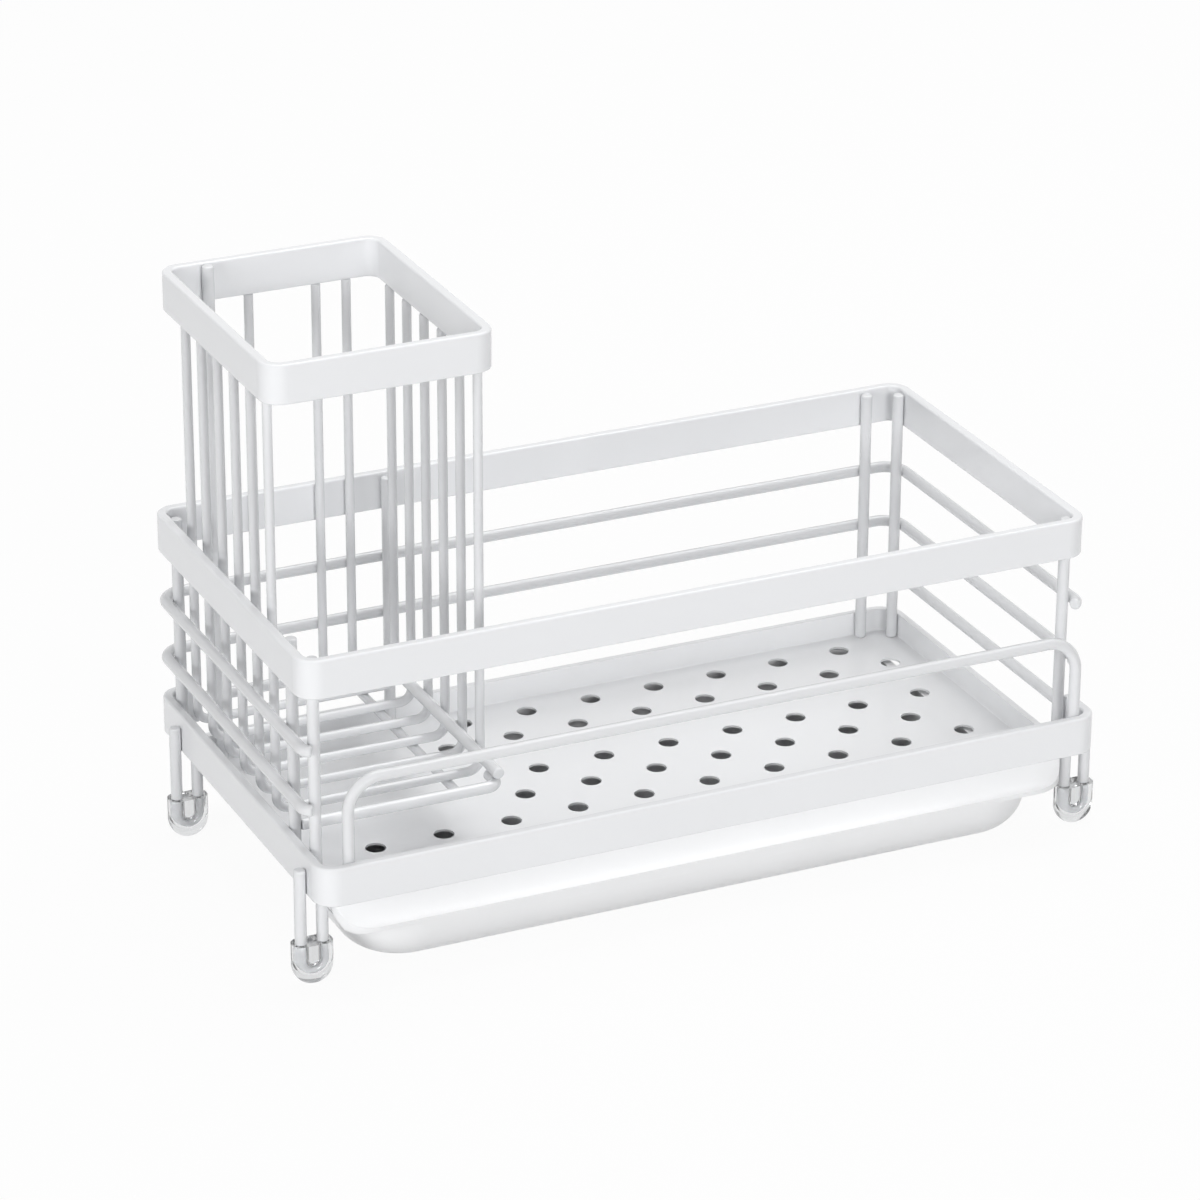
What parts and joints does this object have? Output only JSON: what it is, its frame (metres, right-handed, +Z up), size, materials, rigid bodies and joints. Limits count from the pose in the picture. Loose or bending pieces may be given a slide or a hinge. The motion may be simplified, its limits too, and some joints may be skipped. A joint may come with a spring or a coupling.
{
  "type": "kitchen sink caddy",
  "caption": "White wire and flat-bar sink caddy with a tall brush holder, a perforated drain pan, a dishcloth rail, a pull-out drip tray and clear feet.",
  "frame": {"origin": "on the standing surface, under the middle of the whole caddy", "axes": "+X to the right along the long side, +Y to the back, +Z up; the dishcloth rail and the drip tray's lip face -Y"},
  "size_m": [0.259, 0.1324, 0.1755],
  "materials": {
    "white_coat": "satin white powder coat",
    "tray_plastic": "smooth white moulded plastic",
    "clear_boot": "clear soft plastic"
  },
  "bodies": {
    "caddy": {"back_middle_post": "white_coat", "back_right_post": "white_coat", "drain_pan": "white_coat", "foot_boot_back_left": "clear_boot", "foot_boot_back_right": "clear_boot", "foot_boot_front_left": "clear_boot", "foot_boot_front_right": "clear_boot", "foot_loop_back_left": "white_coat", "foot_loop_back_right": "white_coat", "foot_loop_front_left": "white_coat", "foot_loop_front_right": "white_coat", "front_left_post": "white_coat", "front_rail": "white_coat", "front_right_post": "white_coat", "holder_back_wire_1": "white_coat", "holder_back_wire_2": "white_coat", "holder_base_bar": "white_coat", "holder_cross_wire": "white_coat", "holder_rim_band": "white_coat", "holder_side_bar": "white_coat", "holder_side_wire_1": "white_coat", "holder_side_wire_2": "white_coat", "holder_side_wire_3": "white_coat", "holder_side_wire_4": "white_coat", "holder_side_wire_5": "white_coat", "holder_side_wire_6": "white_coat", "left_back_post": "white_coat", "left_front_post": "white_coat", "lower_back_wire": "white_coat", "lower_band": "white_coat", "middle_side_wire": "white_coat", "right_side_post": "white_coat", "tall_back_post": "white_coat", "top_rim_band": "white_coat", "upper_side_wire": "white_coat"},
    "tray": {"drip_tray": "tray_plastic"}
  },
  "joints": [
    {"name": "tray_slide", "type": "slide", "parent": "caddy", "child": "tray", "axis": [0, -1, 0], "range_m": [0, 0.1]}
  ]
}
